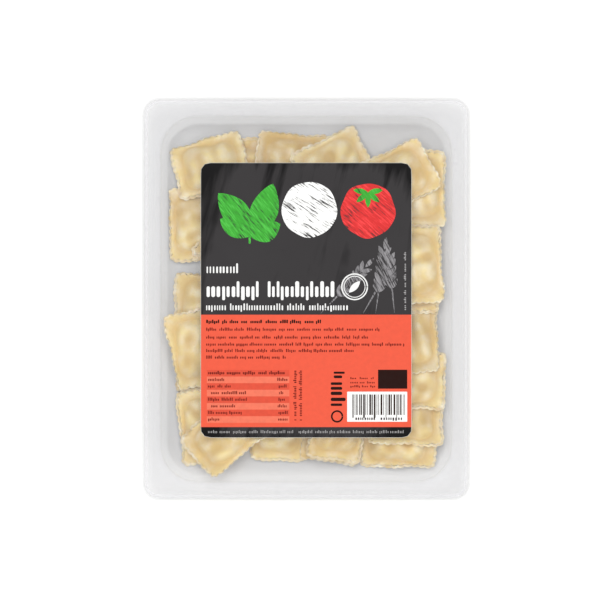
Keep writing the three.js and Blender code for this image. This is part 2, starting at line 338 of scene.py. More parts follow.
def gather(parts):
    """Joins several vertex and face pairs into one pair."""
    vertices = []
    faces = []
    offset = 0
    for points, polygons in parts:
        vertices.append(points)
        faces.extend([[index + offset for index in polygon] for polygon in polygons])
        offset += len(points)
    return np.vstack(vertices), faces


# Material helpers


class Finish:
    """A material under construction, with short calls for its nodes."""

    def __init__(self, name):
        self.material = bpy.data.materials.new(name)
        self.material.use_nodes = True
        self.tree = self.material.node_tree
        self.tree.nodes.clear()
        self.output = self.tree.nodes.new("ShaderNodeOutputMaterial")

    def node(self, kind, settings=None, **sockets):
        """Adds a node. A socket is given by its name, with spaces written as underscores."""
        made = self.tree.nodes.new(kind)
        for key, value in (settings or {}).items():
            setattr(made, key, value)
        for key, value in sockets.items():
            self.feed(made.inputs[key.replace("_", " ")], value)
        return made

    def feed(self, socket, value):
        """Links an output to a socket, or sets the socket's own value."""
        if isinstance(value, bpy.types.NodeSocket):
            self.tree.links.new(value, socket)
        elif socket.type == "RGBA":
            socket.default_value = (*value, 1.0)
        else:
            socket.default_value = value

    def attribute(self, name):
        """A number that the mesh holds for each vertex."""
        return self.node("ShaderNodeAttribute", {"attribute_name": name}).outputs["Fac"]

    def place(self, scale=(1.0, 1.0, 1.0), turn=0.0):
        """Object coordinates, turned about Z and then scaled."""
        where = self.node("ShaderNodeTexCoord").outputs["Object"]
        turned = self.node("ShaderNodeMapping", Vector=where, Rotation=(0, 0, turn))
        scaled = self.node("ShaderNodeVectorMath", {"operation": "MULTIPLY"})
        self.feed(scaled.inputs[0], turned.outputs["Vector"])
        self.feed(scaled.inputs[1], scale)
        return scaled.outputs["Vector"]

    def noise(self, where, scale, detail=4.0, roughness=0.55):
        """A noise value, with scale in cells a metre."""
        return self.node(
            "ShaderNodeTexNoise", Vector=where, Scale=scale, Detail=detail, Roughness=roughness
        ).outputs["Fac"]

    def ramp(self, value, low, high, start=0.0, end=1.0):
        """Maps a value from low..high to start..end, held at both ends."""
        return self.node(
            "ShaderNodeMapRange", Value=value, From_Min=low, From_Max=high, To_Min=start, To_Max=end
        ).outputs["Result"]

    def mix(self, share, first, second):
        """Mixes two colours, through the factor and the colour sockets of the mix node."""
        made = self.node("ShaderNodeMix", {"data_type": "RGBA"})
        for number, value in ((0, share), (6, first), (7, second)):
            self.feed(made.inputs[number], value)
        return made.outputs[2]

    def math(self, operation, first, second=0.0):
        """One step of arithmetic."""
        made = self.node("ShaderNodeMath", {"operation": operation})
        self.feed(made.inputs[0], first)
        self.feed(made.inputs[1], second)
        return made.outputs[0]

    def add(self, first, second):
        """The sum of two values."""
        return self.math("ADD", first, second)

    def times(self, first, second):
        """The product of two values."""
        return self.math("MULTIPLY", first, second)

    def bump(self, height, strength, distance):
        """A bump from a height, with distance in metres."""
        return self.node(
            "ShaderNodeBump", Height=height, Strength=strength, Distance=distance
        ).outputs["Normal"]

    def surface(self, body, roughness, **sockets):
        """A principled shader with a colour, a roughness and any further sockets."""
        return self.node(
            "ShaderNodeBsdfPrincipled", Base_Color=body, Roughness=roughness, **sockets
        ).outputs["BSDF"]

    def finish(self, shader):
        """Links the shader to the output and returns the material."""
        self.tree.links.new(shader, self.output.inputs["Surface"])
        return self.material


# Noise scales of the dough in cells a metre, from tone down to grain
TONE_CELLS = 85.0
FLOUR_CELLS = 170.0
SPECK_CELLS = 900.0
GRAIN_CELLS = 1500.0

SPECK = linear(205, 168, 104)
SOOT = linear(14, 13, 14)


def dough_material(look):
    """Floured egg dough: yellow with floury patches, painted shade at the filling's foot, fine specks.

    The rim attribute runs from 0 over the filling, past 0.5 at its foot, to 1 at the cut
    edge, and past 1 in the groove between the two sheets. The relief attribute is the
    height of lumps and ruffles in millimetres: lumps are paler, a painted highlight that partly
    stands for flouring, and hollows are deeper, painted shade. The shade attribute, the same all
    over a piece, makes some pieces darker than others: partly damper dough, and partly painted
    light and shade, as its draw was picked to brighten or darken pieces as light falls on them.
    """
    made = Finish("floured_dough")
    where = made.place()
    rim = made.attribute("rim")
    relief = made.attribute("relief")
    tone = made.noise(where, TONE_CELLS, 3.0)
    patches = made.noise(where, FLOUR_CELLS, 4.0, 0.5)
    grain = made.noise(where, GRAIN_CELLS, 3.0, 0.6)

    # Per-piece shade and tone noise: partly damp dough, partly painted light and shade
    damp = made.times(made.attribute("shade"), 0.45)
    damp = made.add(made.ramp(tone, 0.4, 0.66, 0.0, 0.45), damp)
    flour_and_highlight = made.add(made.ramp(patches, 0.4, 0.68, 0.0, 0.5), made.ramp(rim, 0.9, 1.0, 0.0, 0.4))
    # Paler on lumps and ruffles: painted highlight, partly flouring
    flour_and_highlight = made.add(flour_and_highlight, made.ramp(relief, 0.1, 1.2, 0.0, 0.3))
    # Painted shade on the filling's outer flank and the pressed groove beside its foot
    pressed = made.times(made.ramp(rim, 0.06, 0.5), made.ramp(rim, 0.8, 0.56))
    # Painted shade in the hollows between lumps and ruffles
    painted_hollow_shade = made.ramp(relief, 0.2, -0.9, 0.0, 0.8)
    groove = made.ramp(rim, 1.02, 1.3, 0.0, 0.7)
    specks = made.ramp(made.noise(where, SPECK_CELLS, 2.0, 0.5), 0.66, 0.74, 0.0, 0.3)

    body = made.mix(damp, look.dough, look.shaded)
    body = made.mix(flour_and_highlight, body, look.floured)
    body = made.mix(made.times(pressed, 0.6), body, look.shaded)
    body = made.mix(painted_hollow_shade, body, look.shaded)
    body = made.mix(groove, body, look.seam)
    body = made.mix(specks, body, SPECK)
    height = made.add(made.times(patches, 0.7), made.times(grain, 0.3))
    shader = made.surface(
        body,
        made.ramp(patches, 0.3, 0.7, 0.6, 0.8),
        Normal=made.bump(height, 0.5, 0.0008),
        Specular_IOR_Level=0.2,
        Subsurface_Weight=0.12,
        Subsurface_Radius=(0.0024, 0.0015, 0.0008),
    )
    return made.finish(shader)


def clear_material(name, tint, passing, haze, edge_haze, highlight_haze, roughness):
    """Clear plastic: most light passes straight through, and a little is held back as haze.

    A transparent shader is mixed with a glossy plastic one. The share of plastic runs from
    haze, seen straight on, to edge_haze, seen edge-on, and gains highlight_haze where the mesh's
    attribute marks it: at tight bends, partly stress whitening and partly painted highlight,
    and on a painted highlight line along the lip. Whitish streaky patches add haze, partly
    milky patches in the sheet and partly painted glints. Faint clouds in it are the sheet's unevenness.
    """
    made = Finish(name)
    where = made.place()
    facing = made.node("ShaderNodeLayerWeight", Blend=0.45).outputs["Facing"]
    soft = made.noise(where, 55.0, 3.0)
    # Whitish streaky haze: partly milky patches, partly painted glints
    streaks_and_glints = made.ramp(made.noise(where, 120.0, 3.0), 0.6, 0.75, 0.0, 0.5 * haze)
    share = made.add(made.ramp(facing, 0.0, 1.0, haze, edge_haze), streaks_and_glints)
    # Painted highlight, partly stress whitening, at tight bends and along the lip
    share = made.add(share, made.times(made.attribute("bend_highlight"), highlight_haze))
    plastic = made.surface(
        made.mix(soft, dimmed(tint, 0.93), tint),
        made.ramp(soft, 0.3, 0.7, roughness, 1.6 * roughness),
        Normal=made.bump(soft, 0.05, 0.002),
        Specular_IOR_Level=0.15,
    )
    clear = made.node("ShaderNodeBsdfTransparent", Color=(passing, passing, passing))
    blend = made.node("ShaderNodeMixShader", Fac=share)
    made.feed(blend.inputs[1], clear.outputs["BSDF"])
    made.feed(blend.inputs[2], plastic)
    return made.finish(blend.outputs["Shader"])


def satin(made, body, roughness, height):
    """Ends a print material: the satin of coated paper with a faint grain."""
    grained = made.bump(height, 0.1, 0.0001)
    return made.finish(made.surface(body, roughness, Normal=grained, Specular_IOR_Level=0.06))


def satin_paper(made, body, mottle):
    """Satin whose gloss follows a mottle, over the fine grain of the paper."""
    grain = made.noise(made.place(), 2600.0, 2.0)
    return satin(made, body, made.ramp(mottle, 0.3, 0.7, 0.52, 0.62), grain)


def ink_material(name, ink, uneven=0.05):
    """Printed ink: nearly even, with a faint mottle."""
    made = Finish(name)
    mottle = made.noise(made.place(), 420.0, 4.0)
    body = made.mix(made.ramp(mottle, 0.35, 0.65), dimmed(ink, 1 - 2 * uneven), ink)
    return satin_paper(made, body, mottle)


def charcoal_material(look, half_width, half_length, middle):
    """Slate-like print: charcoal with soft smears, and darker towards the label's corners.

    The corners darken with the sum of the fourth powers of the shares across and along.
    """
    made = Finish("label_charcoal")
    where = made.place()
    smears = made.noise(made.place((150.0, 16.0, 30.0), 0.25), 1.0, 4.0, 0.55)
    clouds = made.noise(where, 30.0, 3.0)
    split = made.node("ShaderNodeSeparateXYZ", Vector=where)
    across = made.math("DIVIDE", split.outputs["X"], half_width * MM)
    up = made.math("SUBTRACT", split.outputs["Y"], middle * MM)
    along = made.math("DIVIDE", up, half_length * MM)
    powers = [made.math("POWER", made.math("ABSOLUTE", share), 4.0) for share in (across, along)]
    reach = made.add(made.add(*powers), made.ramp(smears, 0.3, 0.7, -0.45, 0.45))
    brushed = made.times(made.ramp(smears, 0.5, 0.66), made.ramp(clouds, 0.48, 0.62))
    body = made.mix(made.times(brushed, 0.75), look.charcoal, SOOT)
    body = made.mix(made.ramp(reach, 0.85, 1.35, 0.0, 0.95), body, SOOT)
    return satin_paper(made, body, clouds)


def chalk_material(name, ink, ground, turn, bare):
    """Chalk rubbed in one direction: strokes of ink with the dark ground showing between.

    bare is the noise value up to which the ground shows.
    """
    made = Finish(name)
    strokes = made.noise(made.place((170.0, 1500.0, 200.0), turn), 1.0, 4.0, 0.6)
    patches = made.noise(made.place(), 130.0, 3.0)
    cover = made.add(strokes, made.ramp(patches, 0.3, 0.7, -0.06, 0.1))
    pale = tuple(min(1.0, 1.5 * value + 0.03) for value in ink)
    rubbed = made.mix(made.ramp(strokes, 0.5, 0.66, 0.0, 0.8), ink, pale)
    body = made.mix(made.ramp(cover, bare - 0.04, bare + 0.08), ground, rubbed)
    return satin(made, body, 0.6, strokes)


def floor_material(look):
    """Plain pale floor with a barely visible tone."""
    made = Finish("stage_floor")
    body = made.mix(made.noise(made.place(), 2.0, 2.0), look.floor, dimmed(look.floor, 0.995))
    return made.finish(made.surface(body, 0.9))


# Ravioli

# The cut edge from the upper sheet round to the lower one: how far out of the cut, height
# as a share of half the rim's thickness, share of the lower sheet's slip, and rim attribute
EDGE_BEADS = [
    (-0.55, 0.94, 0.0, 1.0),
    (-0.22, 0.78, 0.0, 1.0),
    (-0.05, 0.5, 0.0, 1.0),
    (-0.12, 0.2, 0.0, 1.1),
    (-0.3, 0.04, 0.05, 1.3),
    (-0.28, -0.06, 0.55, 1.1),
    (-0.12, -0.2, 0.92, 1.0),
    (-0.05, -0.5, 1.0, 1.0),
    (-0.2, -0.76, 1.0, 1.0),
    (-0.55, -0.9, 0.95, 1.0),
]
POINTS_PER_TOOTH = 6
FILLING_STEPS = 16

# Where rings lie on the upper and on the lower rim, as shares of the way from foot to cut
UPPER_RIM = (0.1, 0.22, 0.36, 0.52, 0.7, 0.88)
LOWER_RIM = (0.7, 0.35, 0.0)

# Height of a flat sheet as a share of half the rim's thickness
SHEET_LEVEL = 0.92

# The groove pressed beside the filling: its depth as a share of that half thickness, and
# its place and breadth as shares of the rim
PRESS_DEPTH = 0.35
PRESS_PLACE = 0.2
PRESS_BREADTH = 0.18

# Share of the rim's waves at the filling's foot, and the rim attribute just inside the foot
FOOT_WAVE = 0.3
FOOT_RIM = 0.35

# Most that the filling's foot swells out, and that the lower sheet slips out, in millimetres
FOOT_SWELL = 0.4
SLIP = 0.9

# How the cut edge bows out and in: lobes on its way round and reach in millimetres
BOWS = ((2, 0.3), (5, 0.25), (9, 0.2))

# Lumps of the filling: wavelengths, height and the share of it that shows underneath, and
# the number, spread and depth of its dents
LUMP_LENGTHS = (19.0, 13.0, 10.0, 8.5, 7.0)
LUMP_HEIGHT = 1.4
LUMPS_BELOW = 0.3
DENTS = 3
DENT_SPREAD = (2.0, 3.8)
DENT_DEPTH = (0.2, 0.7)

# Share of a raviolo's half length or half width past which its rim is flat
RIM_FROM = 0.5

# Gap in millimetres between a raviolo and the tray that it lies against
CLEAR_OF_TRAY = 0.08


def draw(index, trait):
    """A fixed draw between -1 and 1, from the fraction of a large sine.

    trait is a whole number, another one for each thing in which the pieces differ.
    """
    wave = math.sin(index * 12.9898 + trait * 78.233) * 43758.5453
    return 2 * (wave - math.floor(wave)) - 1


def wave_round(turn, lobes, index, trait):
    """A wave on the way round a piece, with a drawn start."""
    return np.sin(lobes * turn + 3 * draw(index, trait))


def corner_weights(across, along):
    """How much each corner hangs down at a point.

    across and along run from -1 to 1 over the flat raviolo. Each weight is the product of
    the two, within its own quarter, to the power of one and a half: 1 at its own corner.
    """
    return np.stack(
        [
            (np.maximum(0, sx * across) * np.maximum(0, sy * along)) ** 1.5
            for sx, sy in ((1, 1), (-1, 1), (-1, -1), (1, -1))
        ]
    )


def end_curl(along_length, length, end_rim, place):
    """How far a point lies up because its end of the raviolo curls.

    It grows with the square of the distance past the filling's foot, as a share of the
    end rim's width, up to the curl of the far or the near end.
    """
    outwards = np.maximum(0, abs(along_length) - length / 2 + end_rim) / end_rim
    return np.where(along_length > 0, place.far_curl, place.near_curl) * outwards**2


def read_lie(node, place, length, width, end_rim):
    """How a packed raviolo lies: a plane and the hang of its four corners.

    The heights of its rim's vertices, less the curl of its ends, are fitted by least
    squares with a constant, the two slopes and the four corner weights.
    """
    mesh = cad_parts[node].data
    flat = np.empty(len(mesh.vertices) * 3, np.float32)
    mesh.vertices.foreach_get("co", flat)
    points = np.unique(np.round(flat.reshape(-1, 3) / MM, 3), axis=0)
    heading = math.radians(place.heading)
    east = points[:, 0] - place.across
    north = points[:, 1] - place.along
    along_length = east * math.cos(heading) + north * math.sin(heading)
    along_width = north * math.cos(heading) - east * math.sin(heading)
    across = 2 * along_length / length
    along = 2 * along_width / width
    rim = np.maximum(abs(across), abs(along)) > RIM_FROM
    basis = np.column_stack([np.ones(len(points)), east, north, -corner_weights(across, along).T])
    heights = points[:, 2] - end_curl(along_length, length, end_rim, place)
    answer = np.linalg.lstsq(basis[rim], heights[rim], rcond=None)[0]
    return answer[:3], answer[3:]


def waves(points, random, lengths, height):
    """Soft unevenness: a sum of plane waves with random headings and phases."""
    total = np.zeros(points.shape[:-1])
    for wavelength in lengths:
        heading, phase = random.uniform(0, 2 * math.pi, 2)
        along = points[..., 0] * math.cos(heading) + points[..., 1] * math.sin(heading)
        total += np.sin(2 * math.pi * along / wavelength + phase)
    return height * total / len(lengths)


def filling_levels(look, rise, half):
    """Rings over the filling: their share of the foot, and the sheet's height above and below.

    The upper sheet is raised by rise times (1 - s^3.4)^1.25 at the share s of the foot.
    """
    share = np.sin(np.linspace(0, math.pi / 2, FILLING_STEPS))[1:]
    lift = (1 - share**3.4) ** 1.25
    above = half * (SHEET_LEVEL + (1 - SHEET_LEVEL) * lift) + rise * lift
    return share, above, -half * SHEET_LEVEL - look.drop * lift


def cut_edge(look, index, length, width, turn, teeth):
    """The toothed outline of a raviolo, its outward normals, and how far the lower sheet slips.

    The rounded rectangle bows in and out by a few tenths, and is set in by the tooth depth
    times (1 - |cos|), so that the teeth are round with sharp notches.
    """
    edge, normals = rounded_rectangle(length, width, look.corner, len(turn))
    notch = look.tooth_depth * (1 - abs(np.cos(teeth * turn / 2)))
    slip = SLIP / 2 * (1 + wave_round(turn, 1, index, 7))
    bow = sum(reach * wave_round(turn, lobes, index, 9 + lobes) for lobes, reach in BOWS)
    return edge + normals * (bow - notch - 0.5 * slip)[:, None], normals, slip


def ruffles(index, turn):
    """How the cut edge ruffles on its way round: two runs of waves that come and go."""
    fade = 0.6 + 0.4 * wave_round(turn, 2, index, 20)
    return fade * (wave_round(turn, 11, index, 21) + 0.7 * wave_round(turn, 17, index, 22))


def filling_lumps(random, flat, foot_length, foot_width):
    """Bumps and thumb-sized dents over the filling: plane waves less a few round hollows."""
    lumps = waves(flat, random, LUMP_LENGTHS, LUMP_HEIGHT)
    for _ in range(DENTS):
        middle = random.uniform(-0.35, 0.35, 2) * (foot_length, foot_width)
        spread = random.uniform(*DENT_SPREAD)
        depth = random.uniform(*DENT_DEPTH)
        lumps -= depth * np.exp(-((np.linalg.norm(flat - middle, axis=-1) / spread) ** 2))
    return lumps


def laid(points, raised, place, lie, hang, half_length, half_width):
    """Moves flat points to their place: turned, put on the piece's plane, corners hanging."""
    heading = math.radians(place.heading)
    east = points[:, 0] * math.cos(heading) - points[:, 1] * math.sin(heading)
    north = points[:, 0] * math.sin(heading) + points[:, 1] * math.cos(heading)
    weights = corner_weights(points[:, 0] / half_length, points[:, 1] / half_width)
    up = lie[0] + lie[1] * east + lie[2] * north - hang @ weights + raised
    return np.column_stack([place.across + east, place.along + north, up])


def kept_in_tray(solid, tray):
    """Presses a soft piece against the tray's inner face where it would pass through.

    The inner face keeps a set distance from an inner rectangle: on the fillet that distance
    and the height follow a quarter circle, on the wall it grows evenly up to the mouth.
    Points below the floor are lifted onto it, those below the fillet by up to four fifths
    of its height, and points past the wall are moved in.
    """
    low, high = box_of("tray")
    core = (high - low)[:2] / 2 - tray.flange - tray.mouth_corner
    near = np.clip(solid[:, :2], -core, core)
    away = solid[:, :2] - near
    distance = np.maximum(np.linalg.norm(away, axis=1), 1e-6)
    on_fillet = np.clip(distance - tray.floor_corner + tray.fillet, 0, tray.fillet)
    lifted = tray.fillet - np.sqrt(tray.fillet**2 - on_fillet**2)
    lowest = tray.sheet + CLEAR_OF_TRAY + np.minimum(lifted, 0.8 * tray.fillet)
    height = np.maximum(solid[:, 2], lowest)
    wall_foot = tray.sheet + tray.fillet
    up_wall = np.clip((height - wall_foot) / (high[2] - tray.mouth_round - wall_foot), 0, 1)
    reach = tray.floor_corner + (tray.mouth_corner - tray.floor_corner) * up_wall - CLEAR_OF_TRAY
    kept = near + away * np.minimum(1, reach / distance)[:, None]
    return np.column_stack([kept, height])


def raviolo_rings(shares, above, below, foot, cut, normals, slip, half):
    """The rings of a flat raviolo from the top round its edge to the underside.

    Each is its points, height, share of the rim's waves, and rim attribute.
    """

    def over_filling(share, height):
        return foot * share, height, FOOT_WAVE * share, FOOT_RIM * share**6

    def on_rim(way, height):
        return foot + (cut - foot) * way, height, FOOT_WAVE + (1 - FOOT_WAVE) * way, 0.5 + 0.5 * way

    rings = [over_filling(*ring) for ring in zip(shares, above)]
    for way in UPPER_RIM:
        pressed = 1 - PRESS_DEPTH * math.exp(-(((way - PRESS_PLACE) / PRESS_BREADTH) ** 2))
        rings.append(on_rim(way, half * pressed))
    for inset, level, slipped, rim in EDGE_BEADS:
        rings.append((cut + normals * (inset + slipped * slip)[:, None], half * level, 1.0, rim))
    rings += [on_rim(way, -half * SHEET_LEVEL) for way in LOWER_RIM]
    return rings + [over_filling(*ring) for ring in zip(shares[-2::-2], below[-2::-2])]


def raviolo(index, place, look, tray):
    """Vertices, faces, and rim and relief attributes of one raviolo.

    Seen flat, rings of points run from the middle of the upper sheet to its toothed edge and
    back underneath. Over the filling a ring is the foot outline times its share. On the rim
    a ring lies between the foot and the cut edge, and is pressed thin beside the foot. The
    two sheets end in round beads with a groove between, the lower one slipped out. Lumps
    and dents are added over the filling, waves, ruffles and curls on the rim, and the whole
    is laid on its plane with its corners hanging, and kept inside the tray.
    """
    length = look.length * (1 + look.spread * draw(index, 1))
    width = look.width * (1 + look.spread * draw(index, 2))
    rise = look.rise * (1 + 2 * look.spread * draw(index, 3))
    half = look.rim_thickness / 2
    random = np.random.default_rng(index + 1)
    teeth = round(rectangle_perimeter(length, width, look.corner) / look.tooth_pitch)
    count = POINTS_PER_TOOTH * teeth
    turn = 2 * math.pi * np.arange(count) / count
    edge = cut_edge(look, index, length, width, turn, teeth)
    foot_length = length - 2 * look.end_rim
    foot_width = width - 2 * look.side_rim
    foot, outward = rounded_rectangle(foot_length, foot_width, look.foot_corner, count)
    swell = wave_round(turn, 3, index, 15) + wave_round(turn, 4, index, 16)
    foot = foot + outward * (FOOT_SWELL * swell)[:, None]
    rings = raviolo_rings(*filling_levels(look, rise, half), foot, *edge, half)

    flat = np.stack([ring[0] for ring in rings])
    height, wave_share, rim = (np.array([ring[k] for ring in rings])[:, None] for k in (1, 2, 3))
    over_filling = np.clip(1 - 2 * rim, 0, 1) * np.where(height > 0, 1.0, LUMPS_BELOW)
    on_rim = np.clip((wave_share - FOOT_WAVE) / (1 - FOOT_WAVE), 0, 1) ** 1.5
    ripple = wave_round(turn, 3, index, 4) + 0.6 * wave_round(turn, 5, index, 5)
    relief = look.ruffle * on_rim * ruffles(index, turn)
    relief = relief + over_filling * filling_lumps(random, flat, foot_length, foot_width)
    curl = end_curl(flat[..., 0], length, look.end_rim, place)
    raised = height + look.wave * wave_share * ripple + relief + curl

    points = np.vstack([flat.reshape(-1, 2), np.zeros((2, 2))])
    raised = np.concatenate([raised.ravel(), [raised[0].mean(), raised[-1].mean()]])
    node = f"ravioli_{index + 1:02d}"
    lie, hang = read_lie(node, place, length, width, look.end_rim)
    solid = laid(points, raised, place, lie, hang, length / 2, width / 2)
    solid = kept_in_tray(solid, tray)
    stacked = solid[:-2].reshape(len(rings), count, 3)
    vertices, faces = skin(stacked, solid[-2], solid[-1])
    rims = np.concatenate([np.repeat(rim, count), [0.0, 0.0]])
    reliefs = np.concatenate([relief.ravel(), [relief[0].mean(), 0.0]])
    return vertices, faces, rims, reliefs


class RAVIOLIPACK_OT_ravioli(Operator):
    """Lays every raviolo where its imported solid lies"""

    bl_idname = "ravioli_pack.add_ravioli"
    bl_label = "Ravioli"

    def execute(self, context):
        look = context.scene.ravioli_look
        material = dough_material(look)
        for index, row in enumerate(PILE):
            vertices, faces, rim, relief = raviolo(index, Place(*row), look, context.scene.tray_look)
            name = f"raviolo_dough_{index + 1:02d}"
            piece = new_piece(name, vertices, faces, material, "dough")
            add_attribute(piece, "rim", rim)
            add_attribute(piece, "relief", relief)
            # Shade for the whole piece: partly damper dough, partly painted light, its draw picked to
            # brighten or darken pieces as light falls on them
            add_attribute(piece, "shade", np.full(len(rim), 0.5 + 0.5 * draw(index, 24)))
            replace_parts(piece, f"ravioli_{index + 1:02d}")
        return {"FINISHED"}


# Tray and film

TRAY_POINTS = 320

# Stations in each stretch of the tray's section
FLOOR_STEPS = 10
FILLET_STEPS = 8
WALL_STEPS = 12
MOUTH_STEPS = 7
LIP_STEPS = 6
LIP_INSIDE_STEPS = 5

# The floor's rings run from a small one, given by inset and corner radius, out to a share
# of the way to the fillet
FLOOR_START = (60.0, 4.0)
FLOOR_END = 0.9

# How strongly the fillet and the mouth's rounding are whitened: partly stress whitening, partly painted
# highlight
FILLET_HIGHLIGHT = 0.1
MOUTH_HIGHLIGHT = 0.4

# A painted highlight line by the lip as inset and share, and the radius of the lip's own edge
LIP_HIGHLIGHT = ((2.6, 0.0), (2.3, 1.0), (1.8, 1.0), (1.5, 0.0))
LIP_ROUND = 1.0

# The film's own sheet: thickness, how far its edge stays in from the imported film's and its
# top below it, and the points and rings of its mesh
FILM_SHEET = 0.08
FILM_MARGIN = 0.8
FILM_BELOW = 0.01
FILM_POINTS = 360
FILM_RINGS = 64

# The film's dip: width of the slope at either side, its depth, and the wavelengths and height
# of its ripples, with the share of them that shows
DIP_SLOPE = 7.0
DIP_DEPTH = 0.35
RIPPLE_LENGTHS = (46.0, 33.0, 24.0, 17.0)
RIPPLE_HEIGHT = 0.6
RIPPLE_SHARE = 0.3


def tray_ring(half, inset, height, corner, count):
    """One level ring of the tray, set in from the pack's outer edge."""
    points, _ = rounded_rectangle(2 * (half[0] - inset), 2 * (half[1] - inset), corner, count)
    return np.column_stack([points, np.full(count, height)])


def arc_steps(count):
    """Shares of a quarter turn's reach in equal steps: one less its sine, one less its cosine."""
    angle = np.linspace(0, math.pi / 2, count)
    return list(zip(1 - np.sin(angle), 1 - np.cos(angle)))


def tray_profile(look, top, inner):
    """The tray's section from floor to flange as (inset, height, corner radius, highlight) stations.

    The inner face starts at the sheet's thickness above the base. The outer face is the
    inner one set out by that thickness. Floor to wall and wall to flange are quarter arcs.
    """
    out = 0.0 if inner else look.sheet
    raised = look.sheet if inner else 0.0
    fillet = look.fillet - out
    rounding = look.mouth_round + out
    foot = look.flange - out + look.draft
    rim = top - look.sheet + raised
    stations = []
    start_inset, start_corner = FLOOR_START
    for step in np.linspace(0.0, FLOOR_END, FLOOR_STEPS):
        inset = start_inset + (foot + fillet - start_inset) * step
        corner = start_corner + (look.floor_corner + out - fillet - start_corner) * step
        stations.append((inset, raised, corner, 0.0))
    for inwards, upwards in arc_steps(FILLET_STEPS):
        corner = look.floor_corner + out - fillet * inwards
        stations.append((foot + fillet * inwards, raised + fillet * upwards, corner, FILLET_HIGHLIGHT))
    wall_low = np.array(stations[-1][:3])
    wall_high = np.array([look.flange - out, rim - rounding, look.mouth_corner + out])
    for step in np.linspace(0, 1, WALL_STEPS)[1:-1]:
        stations.append((*(wall_low * (1 - step) + wall_high * step), 0.0))
    for upwards, inwards in arc_steps(MOUTH_STEPS):
        inset = look.flange - out - rounding * inwards
        corner = look.mouth_corner + out + rounding * inwards
        stations.append((inset, rim - rounding * upwards, corner, MOUTH_HIGHLIGHT))
    return stations


def lip_profile(look, top):
    """The turned-down outer lip, over its edge and back up inside, as tray stations."""
    inner_round = LIP_ROUND - look.sheet
    # The flat flange first, with a painted highlight line on it
    levels = [(inset, top, bend_highlight) for inset, bend_highlight in LIP_HIGHLIGHT]
    levels += [(LIP_ROUND * out, top - LIP_ROUND * down, 0.0) for out, down in arc_steps(LIP_STEPS)]
    levels += [(0.0, top - look.lip_drop, 0.0), (look.sheet, top - look.lip_drop, 0.0)]
    for out, down in arc_steps(LIP_INSIDE_STEPS)[::-1]:
        levels.append((look.sheet + inner_round * out, top - look.sheet - inner_round * down, 0.0))
    return [(inset, height, look.corner - inset, bend_highlight) for inset, height, bend_highlight in levels]


class RAVIOLIPACK_OT_tray(Operator):
    """Forms the clear tray with its flange and turned-down lip"""

    bl_idname = "ravioli_pack.add_tray"
    bl_label = "Tray"

    def execute(self, context):
        look = context.scene.tray_look
        low, high = box_of("tray")
        half = (high - low)[:2] / 2
        top = high[2]
        inner = tray_profile(look, top, True)
        outer = tray_profile(look, top, False)
        stations = [*inner, *lip_profile(look, top), *outer[::-1]]
        rings = np.stack([tray_ring(half, *station[:3], TRAY_POINTS) for station in stations])
        vertices, faces = skin(rings, (0.0, 0.0, look.sheet), (0.0, 0.0, 0.0))
        plastic = clear_material(
            "clear_tray",
            look.plastic,
            passing=0.95,
            haze=0.03,
            edge_haze=0.025,
            highlight_haze=0.3,
            roughness=0.14,
        )
        piece = new_piece("tray_shell", vertices, faces, plastic, "clear_tray")
        # Painted highlight, partly stress whitening, where the tray bends and by the lip
        bend_highlights = np.repeat([station[3] for station in stations], TRAY_POINTS)
        add_attribute(piece, "bend_highlight", np.concatenate([bend_highlights, [0.0, 0.0]]))
        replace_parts(piece, "tray")
        return {"FINISHED"}


class RAVIOLIPACK_OT_film(Operator):
    """Stretches the lid film over the flange, with a soft dip round the label"""

    bl_idname = "ravioli_pack.add_film"
    bl_label = "Lid film"

    def execute(self, context):
        look = context.scene.tray_look
        low, high = box_of("lid_film")
        label_low, label_high = box_of("label")
        mouth = (high - low)[:2] / 2 - look.flange
        edge = (high - low)[:2] - 2 * FILM_MARGIN
        outline, _ = rounded_rectangle(*edge, look.corner - FILM_MARGIN, FILM_POINTS)
        flat = outline[None] * np.linspace(0, 1, FILM_RINGS)[1:, None, None]
        label_half = (label_high - label_low)[:2] / 2
        label_middle = (label_high + label_low)[:2] / 2
        past_label = np.max(abs(flat - label_middle) - label_half, axis=-1)
        to_mouth = np.min(mouth - abs(flat), axis=-1)
        open_band = np.clip(np.minimum(past_label, to_mouth) / DIP_SLOPE, 0, 1)
        ripples = waves(flat, np.random.default_rng(5), RIPPLE_LENGTHS, RIPPLE_HEIGHT)
        sag = open_band**2 * (3 - 2 * open_band) * (DIP_DEPTH - RIPPLE_SHARE * ripples)
        level = high[2] - FILM_BELOW
        upper = np.dstack([flat, level - sag])
        lower = np.dstack([flat, level - FILM_SHEET - sag])
        rings = np.concatenate([upper, lower[::-1]])
        vertices, faces = skin(rings, (0.0, 0.0, level), (0.0, 0.0, level - FILM_SHEET))
        film = clear_material(
            "clear_film",
            look.film,
            passing=0.97,
            haze=0.05,
            edge_haze=0.09,
            highlight_haze=0.0,
            roughness=0.08,
        )
        piece = new_piece("lid_film_sheet", vertices, faces, film, "clear_film")
        add_attribute(piece, "bend_highlight", np.zeros(len(vertices)))
        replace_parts(piece, "lid_film")
        return {"FINISHED"}


# Label. Places on it are millimetres from its left edge and down from its top edge.

LABEL_CORNER = 4.0
LABEL_POINTS = 160
ROUND_POINTS = 64
BLADE_POINTS = 24

# Tops of the layers of ink over the label's base, and a hair between crossing strokes
PAPER_TOP = 0.1
FIELD_TOP = 0.12
PRINT_TOP = 0.135
STRIPE_TOP = 0.145
OVERPRINT_TOP = 0.15
LAST_TOP = 0.16
INK_STEP = 0.0005

PAPER_MARGIN = 0.15
CORAL_FROM = 71.3
CORAL_TO = 124.0

# Chalk finishes: name, ink, heading of the strokes in radians, and how bare the ground is
CHALKS = (
    ("green", "leaf", 0.9, 0.37),
    ("white", "chalk", 0.6, 0.4),
    ("red", "tomato", 0.7, 0.37),
    ("grey", "smoke", 1.1, 0.44),
)

